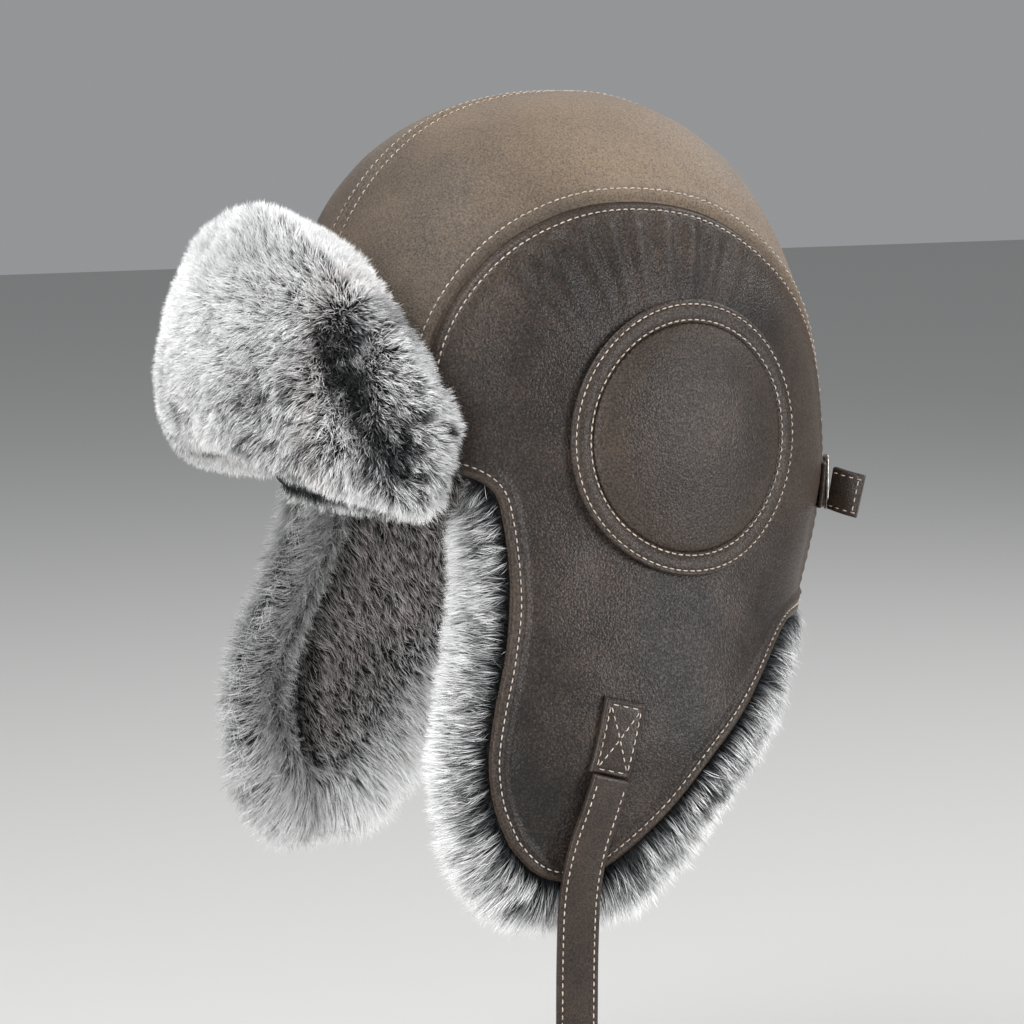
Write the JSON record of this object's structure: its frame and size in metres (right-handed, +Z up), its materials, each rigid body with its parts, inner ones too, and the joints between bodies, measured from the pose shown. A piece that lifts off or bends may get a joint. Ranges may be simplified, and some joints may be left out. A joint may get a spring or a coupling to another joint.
{
  "type": "trapper hat",
  "caption": "Fur-lined leather aviator hat with a turned-up fur visor, folding ear flaps, round padded ear patches, chin straps with a pin buckle and a nape adjuster.",
  "frame": {"origin": "centre of the head opening at the level of the forehead edge", "axes": "+Z up through the crown, -Y towards the wearer's face, +X towards the wearer's left ear"},
  "size_m": [0.2352, 0.2752, 0.44],
  "materials": {
    "crown_leather": "suede-like, worn",
    "side_leather": "grained, satin",
    "strap_leather": "smooth, satin",
    "fur": "deep pile, dark roots and light tips",
    "quilting": "quilted satin",
    "foam": "matt",
    "metal": "satin nickel"
  },
  "bodies": {
    "crown": {"crown_panel_left": "crown_leather", "crown_panel_right": "crown_leather", "side_panel_left": "side_leather", "side_panel_right": "side_leather", "crown_lining_front_left": "quilting", "crown_lining_front_right": "quilting", "crown_lining_back_left": "quilting", "crown_lining_back_right": "quilting", "side_lining_left": "fur", "side_lining_right": "fur", "neck_fur": "fur", "forehead_fur": "fur", "ear_ring_left": "side_leather", "ear_ring_right": "side_leather", "ear_pad_left": "side_leather", "ear_pad_right": "side_leather", "ear_foam_left": "foam", "ear_foam_right": "foam", "snap_stud": "metal", "adjuster_strap": "strap_leather", "adjuster_tab": "strap_leather", "adjuster_ring": "metal"},
    "visor": {"visor_leather": "side_leather", "visor_fur": "fur", "snap_socket": "metal"},
    "ear_flap_left": {"flap_leather_left": "side_leather", "flap_fur_left": "fur", "strap_box_left": "strap_leather"},
    "ear_flap_right": {"flap_leather_right": "side_leather", "flap_fur_right": "fur", "strap_box_right": "strap_leather"},
    "long_strap": {"chin_strap_left": "strap_leather"},
    "short_strap": {"chin_strap_right": "strap_leather", "strap_keeper": "strap_leather"},
    "buckle": {"buckle_frame": "metal"},
    "pin": {"buckle_pin": "metal"},
    "tail": {"adjuster_tail": "strap_leather"}
  },
  "joints": [
    {"name": "visor_fold", "type": "hinge", "parent": "crown", "child": "visor", "pos_m": [0, -0.119, 0.011], "axis": [1, 0, 0], "range_deg": [0, 95]},
    {"name": "ear_flap_left_fold", "type": "hinge", "parent": "crown", "child": "ear_flap_left", "pos_m": [0.1025, 0, -0.0582], "axis": [0, -1, 0], "range_deg": [-8, 155]},
    {"name": "ear_flap_right_fold", "type": "hinge", "parent": "crown", "child": "ear_flap_right", "pos_m": [-0.1101, 0, -0.0582], "axis": [0, 1, 0], "range_deg": [-8, 155]},
    {"name": "long_strap_swing", "type": "hinge", "parent": "ear_flap_left", "child": "long_strap", "pos_m": [0.1084, -0.0395, -0.1062], "axis": [0, 1, 0], "range_deg": [-100, 0]},
    {"name": "short_strap_swing", "type": "hinge", "parent": "ear_flap_right", "child": "short_strap", "pos_m": [-0.125, -0.05, -0.1062], "axis": [0, -1, 0], "range_deg": [-80, 0]},
    {"name": "buckle_turn", "type": "hinge", "parent": "short_strap", "child": "buckle", "pos_m": [-0.1224, -0.05, -0.129], "axis": [0, -1, 0], "range_deg": [-50, 0]},
    {"name": "pin_turn", "type": "hinge", "parent": "buckle", "child": "pin", "pos_m": [-0.1224, -0.05, -0.129], "axis": [0, -1, 0], "range_deg": [-55, 0]},
    {"name": "tail_swing", "type": "hinge", "parent": "crown", "child": "tail", "pos_m": [0.053, 0.1005, -0.008], "axis": [0, 0, 1], "range_deg": [-40, 25]}
  ]
}
